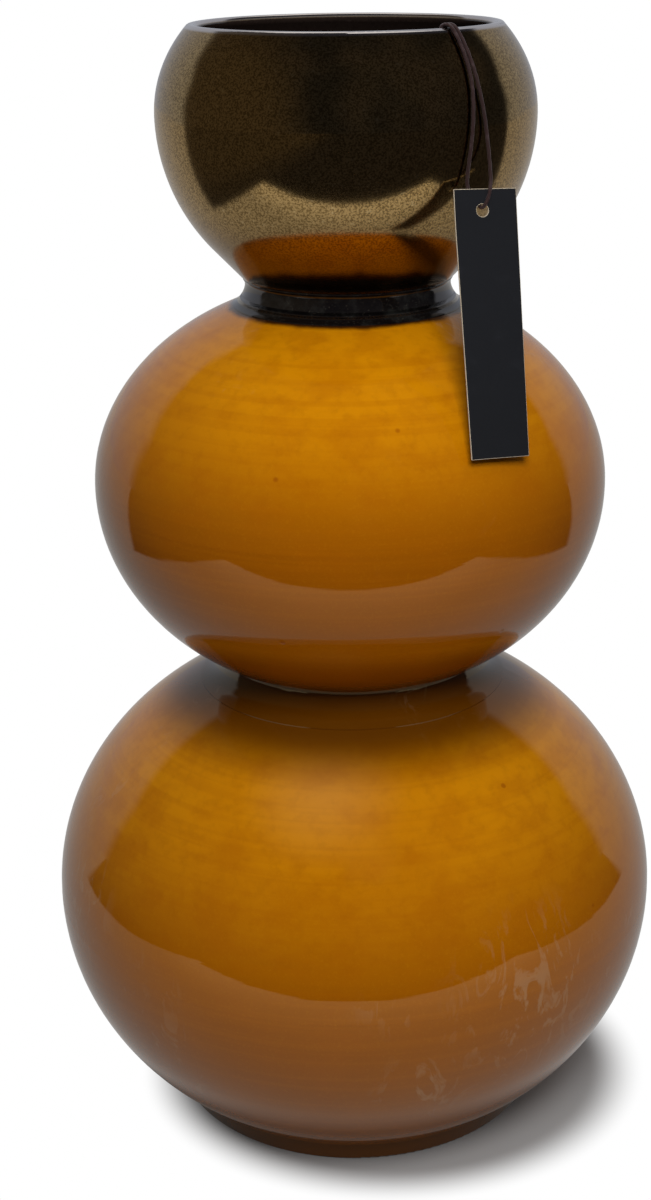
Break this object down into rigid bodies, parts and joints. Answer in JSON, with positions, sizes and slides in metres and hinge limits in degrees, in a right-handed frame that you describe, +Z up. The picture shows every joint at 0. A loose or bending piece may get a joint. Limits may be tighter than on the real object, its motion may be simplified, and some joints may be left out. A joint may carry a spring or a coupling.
{
  "type": "stacked gourd vase",
  "caption": "Glazed ceramic vase of stacked round lobes that narrow upwards to an open metallic bowl, with a card tag hung over the rim on a cord.",
  "frame": {"origin": "on the vase's axis, in the plane that the foot ring stands on", "axes": "+Z up along the vase's axis; the pictured front faces -Y and +X is to its right"},
  "size_m": [0.28, 0.28, 0.4987],
  "materials": {
    "amber_glaze": "high-gloss transparent amber glaze over a pale body",
    "bronze_glaze": "mirror-like bronze lustre with a fine sandy speckle",
    "fired_slip": "matt fired slip, under the glaze",
    "black_card": "matt black printed card with a cream core",
    "brown_cord": "dark brown waxed cord",
    "putty": "pale adhesive putty, pressed flat"
  },
  "bodies": {
    "vase": {"foot_ring": "amber_glaze", "lower_globe_base": "amber_glaze", "lower_globe_shoulder": "amber_glaze", "lower_collar": "amber_glaze", "middle_globe_base": "amber_glaze", "middle_globe_shoulder": "amber_glaze", "upper_collar": "bronze_glaze", "top_bowl": "bronze_glaze", "foot_slip": "fired_slip", "lower_belly_slip": "fired_slip", "lower_shoulder_slip": "fired_slip", "lower_collar_slip": "fired_slip", "middle_belly_slip": "fired_slip", "middle_shoulder_slip": "fired_slip", "bowl_slip": "fired_slip", "tag_cord_ends": "brown_cord", "cord_putty": "putty"},
    "tag_cord": {"tag_cord": "brown_cord"},
    "tag_card": {"tag_card": "black_card"}
  },
  "joints": [
    {"name": "tag_lift", "type": "hinge", "parent": "vase", "child": "tag_cord", "pos_m": [0.04028, -0.04896, 0.49947], "axis": [-0.7722, -0.6354, 0], "range_deg": [0, 75]},
    {"name": "tag_swing", "type": "hinge", "parent": "tag_cord", "child": "tag_card", "pos_m": [0.05307, -0.06768, 0.42882], "axis": [0.3156, -0.9165, 0.2459], "range_deg": [-20, 20]}
  ]
}
